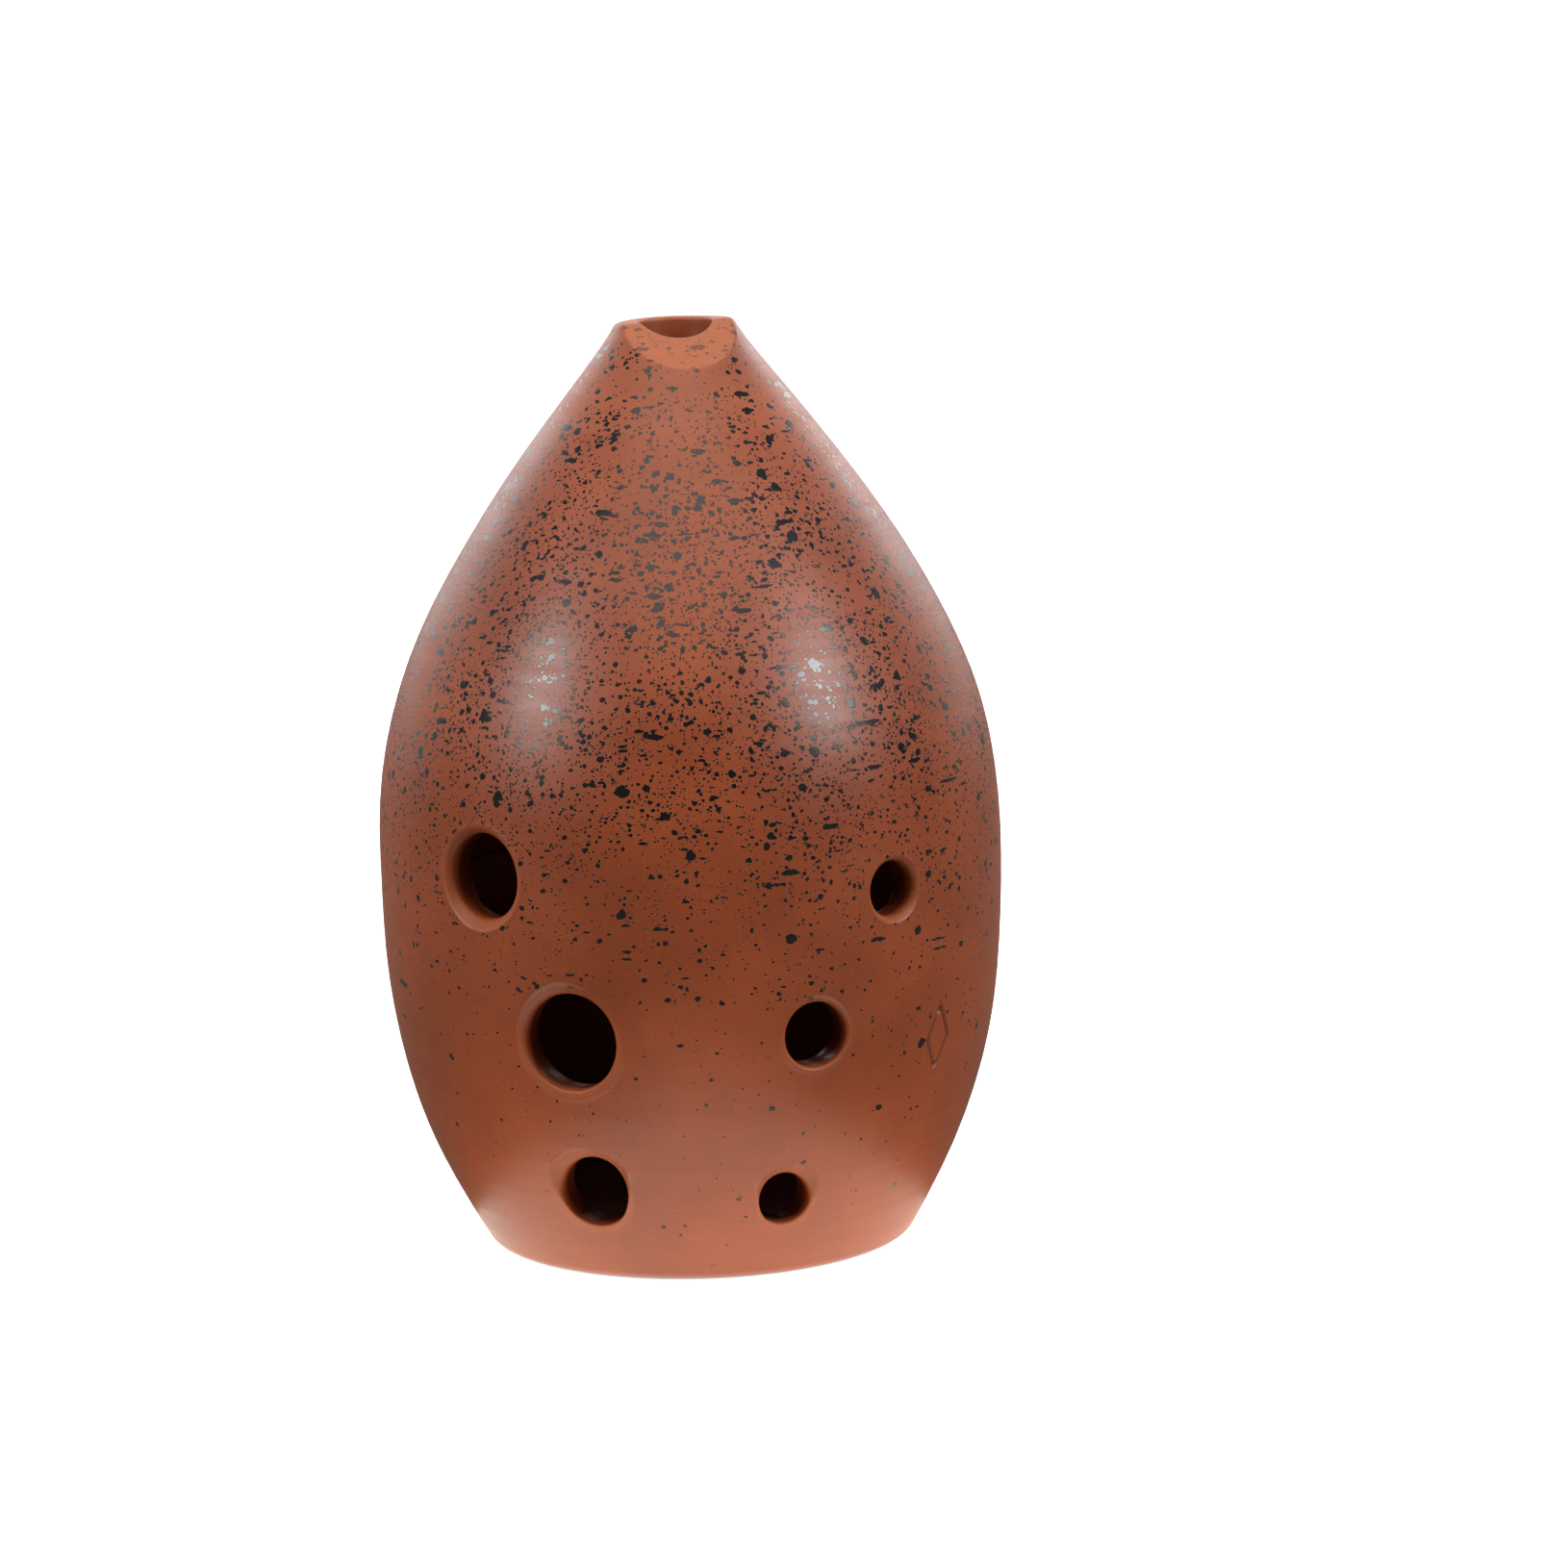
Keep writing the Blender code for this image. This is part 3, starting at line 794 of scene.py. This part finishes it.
def clay(name, colour, roughness, glazed):
    """Burnished terracotta, with black glaze spatter where the mesh says that it is glazed, paler worn
    clay where its level is above 0, and painted shade where it is below 0.
    """
    nodes = Nodes(name)
    place = nodes.node("ShaderNodeTexCoord").outputs["Object"]
    lip = nodes.node("ShaderNodeAttribute", attribute_name="lip").outputs["Fac"]

    blotches = nodes.noise(place, 60, 4, 0.55).outputs["Fac"]
    bands = nodes.noise(nodes.scaled(place, (45, 45, 900)), 1, 3).outputs["Fac"]
    grain = nodes.noise(place, 2400, 3, 0.6).outputs["Fac"]
    body = nodes.mix(nodes.remap(blotches, (0.32, 0.68), (0, 1)),
                     tinted(colour, 0.80, 0.80, 0.80), tinted(colour, 1.16, 1.18, 1.20))
    body = nodes.mix(nodes.remap(bands, (0.35, 0.70), (0, 0.16)), body,
                     tinted(colour, 0.86, 0.80, 0.76))
    body = nodes.mix(nodes.remap(grain, (0.56, 0.74), (0, 0.45)), body,
                     tinted(colour, 1.35, 1.40, 1.45))
    # Worn, paler clay where the mesh's level is above 0
    body = nodes.mix(nodes.math("MULTIPLY", lip, 0.35, True), body,
                     tinted(colour, 1.45, 1.90, 2.30))
    # Painted shade where the mesh's level is below 0: the colour is darkened down the bores and in the
    # mark's groove
    body = nodes.mix(nodes.math("MULTIPLY", lip, -1.0, True), body,
                     tinted(colour, 0.36, 0.30, 0.28))

    shine = nodes.remap(blotches, (0.3, 0.7), (roughness - 0.04, roughness + 0.05))
    shine = nodes.math("ADD", shine, nodes.remap(bands, (0.3, 0.7), (-0.03, 0.04)))
    shine = nodes.math("ADD", shine, nodes.math("MULTIPLY", lip, 0.06))
    relief = nodes.math("ADD", nodes.math("MULTIPLY", grain, 0.5), nodes.math("MULTIPLY", bands, 0.6))

    if glazed:
        mask = nodes.node("ShaderNodeAttribute", attribute_name="glazed").outputs["Fac"]
        drops = nodes.math("MULTIPLY", spatter(nodes, place), mask)
        body = nodes.mix(drops, body, GLAZE_COLOUR)
        shine = nodes.math("ADD", nodes.math("MULTIPLY", shine, nodes.math("SUBTRACT", 1, drops)),
                           nodes.math("MULTIPLY", drops, GLAZE_ROUGHNESS))
        relief = nodes.math("ADD", relief, nodes.math("MULTIPLY", drops, GLAZE_RELIEF))

    bump = nodes.node("ShaderNodeBump", {"Height": relief, "Distance": BUMP_DISTANCE, "Strength": 1.0})
    nodes.set(nodes.surface.inputs["Base Color"], body)
    nodes.set(nodes.surface.inputs["Roughness"], shine)
    nodes.set(nodes.surface.inputs["Normal"], bump.outputs[0])
    nodes.surface.inputs["Specular IOR Level"].default_value = 0.5
    return nodes.material


# ---- The studio -----------------------------------------------------------------------------

CAMERA_DISTANCE = 0.601
CAMERA_ELEVATION = radians(9.39)
CAMERA_ROLL = radians(-1.74)
LENS_MM = 121.0
SHIFT = (0.0609, -0.0031)

WHITE = (1, 1, 1)
SOFTBOX_DISTANCE = 0.9
Softbox = namedtuple("Softbox", "name azimuth elevation size watts colour")
SOFTBOXES = (
    Softbox("key_left", radians(-65), radians(29), 0.30, 4.4, WHITE),
    Softbox("key_right", radians(62), radians(30), 0.30, 5.2, WHITE),
    Softbox("top_front", 0, radians(72), 1.0, 5.8, (1.0, 0.92, 0.83)),
    Softbox("back_left", radians(-150), radians(25), 0.45, 0.8, WHITE),
    Softbox("back_right", radians(150), radians(25), 0.45, 1.2, WHITE),
)
ROOM_DEPTHS = (0.1, 0.9)  # the room brightens between these Y parts of a direction
ROOM_STRENGTHS = (0.05, 1.5)

FLOOR_REACH = 20
FLOOR_SEEN = (0.9, 0.9, 0.9, 1)     # its colour to the camera
FLOOR_FELT = (0.14, 0.12, 0.10, 1)  # and to the light that it sends back to the vessel
FLOOR_GLOW = 0.75
TABLE_GLOW_FORWARD = 22 * MM
TABLE_GLOW_HALF_WIDTH = 34 * MM
TABLE_GLOW_HALF_DEPTH = 46 * MM
TABLE_GLOW_HEIGHT = 0.2 * MM
TABLE_GLOW_WATTS = 0.029
TABLE_GLOW_COLOUR = (1.0, 0.91, 0.78)


def aimed(location, target):
    return (Vector(target) - Vector(location)).to_track_quat("-Z", "Y").to_matrix().to_4x4()


def add_camera():
    data = bpy.data.cameras.new("camera")
    data.sensor_width = 36
    data.lens = LENS_MM
    data.shift_x, data.shift_y = SHIFT
    data.clip_start = 0.01
    data.clip_end = 60
    camera = bpy.data.objects.new("camera", data)
    target = Vector((0, 0, HEIGHT / 2))
    place = target + CAMERA_DISTANCE * Vector((0, -cos(CAMERA_ELEVATION), sin(CAMERA_ELEVATION)))
    camera.matrix_world = (Matrix.Translation(place) @ aimed(place, target)
                           @ Matrix.Rotation(CAMERA_ROLL, 4, "Z"))
    bpy.context.collection.objects.link(camera)
    bpy.context.scene.camera = camera


def add_area_light(name, shape, watts, colour, matrix):
    data = bpy.data.lights.new(name, "AREA")
    data.shape = shape
    data.energy = watts
    data.color = colour
    light = bpy.data.objects.new(name, data)
    light.matrix_world = matrix
    bpy.context.collection.objects.link(light)
    return light


def add_softbox(box):
    """A round soft light that faces the middle of the vessel."""
    target = Vector((0, 0, HEIGHT * 0.55))
    direction = Vector((cos(box.elevation) * sin(box.azimuth),
                        -cos(box.elevation) * cos(box.azimuth), sin(box.elevation)))
    place = target + SOFTBOX_DISTANCE * direction
    light = add_area_light(box.name, "DISK", box.watts, box.colour,
                           Matrix.Translation(place) @ aimed(place, target))
    light.data.size = box.size


def add_room():
    """A room that is bright behind the vessel and dim elsewhere, and that the camera sees as white."""
    world = bpy.data.worlds.new("room")
    world.use_nodes = True
    bpy.context.scene.world = world
    tree = world.node_tree
    new = tree.nodes.new
    link = tree.links.new
    direction = new("ShaderNodeTexCoord")
    parts = new("ShaderNodeSeparateXYZ")
    link(direction.outputs["Generated"], parts.inputs[0])
    depth = new("ShaderNodeMapRange")
    depth.interpolation_type = "SMOOTHSTEP"
    depth.inputs["From Min"].default_value, depth.inputs["From Max"].default_value = ROOM_DEPTHS
    depth.inputs["To Min"].default_value, depth.inputs["To Max"].default_value = ROOM_STRENGTHS
    link(parts.outputs["Y"], depth.inputs["Value"])
    seen = new("ShaderNodeLightPath")
    strength = new("ShaderNodeMix")
    link(seen.outputs["Is Camera Ray"], strength.inputs["Factor"])
    link(depth.outputs[0], strength.inputs["A"])
    strength.inputs["B"].default_value = 1.0
    background = tree.nodes["Background"]
    background.inputs["Color"].default_value = (1, 1, 1, 1)
    link(strength.outputs["Result"], background.inputs["Strength"])


def add_floor():
    """A wide pale floor. It glows a little to the camera, and sends less light back to the vessel."""
    mesh = bpy.data.meshes.new("floor")
    corners = [(FLOOR_REACH * x, FLOOR_REACH * y, 0) for x, y in ((-1, -1), (1, -1), (1, 1), (-1, 1))]
    mesh.from_pydata(corners, [], [(0, 1, 2, 3)])
    nodes = Nodes("floor_paper")
    seen = nodes.node("ShaderNodeLightPath").outputs["Is Camera Ray"]
    nodes.set(nodes.surface.inputs["Base Color"], nodes.mix(seen, FLOOR_FELT, FLOOR_SEEN))
    nodes.surface.inputs["Roughness"].default_value = 0.8
    nodes.surface.inputs["Emission Color"].default_value = (1, 1, 1, 1)
    nodes.set(nodes.surface.inputs["Emission Strength"], nodes.math("MULTIPLY", seen, FLOOR_GLOW))
    mesh.materials.append(nodes.material)
    floor = bpy.data.objects.new("floor", mesh)
    bpy.context.collection.objects.link(floor)


def add_table_glow():
    """The bright patch of table before the foot, which lights the vessel from below."""
    place = Matrix.Translation((0, -TABLE_GLOW_FORWARD, TABLE_GLOW_HEIGHT))
    light = add_area_light("table_glow", "ELLIPSE", TABLE_GLOW_WATTS, TABLE_GLOW_COLOUR,
                           place @ Matrix.Rotation(pi, 4, "X"))
    light.data.size = 2 * TABLE_GLOW_HALF_WIDTH
    light.data.size_y = 2 * TABLE_GLOW_HALF_DEPTH
    light.visible_camera = False


def main():
    bare = clay("bare_clay", BARE_COLOUR, BARE_ROUGHNESS, False)
    lower_shell(clay("lower_shell_burnished", SHELL_COLOUR, SHELL_ROUGHNESS, True))
    upper_shell(clay("upper_shell_burnished", SHELL_COLOUR, SHELL_ROUGHNESS, True))
    mouth_ring(clay("mouth_ring_burnished", MOUTH_COLOUR, MOUTH_ROUGHNESS, True))
    base_slab(bare)
    seam_coil(bare)
    add_floor()
    add_room()
    for box in SOFTBOXES:
        add_softbox(box)
    add_table_glow()
    add_camera()
    bpy.context.scene.view_settings.view_transform = "Standard"


main()
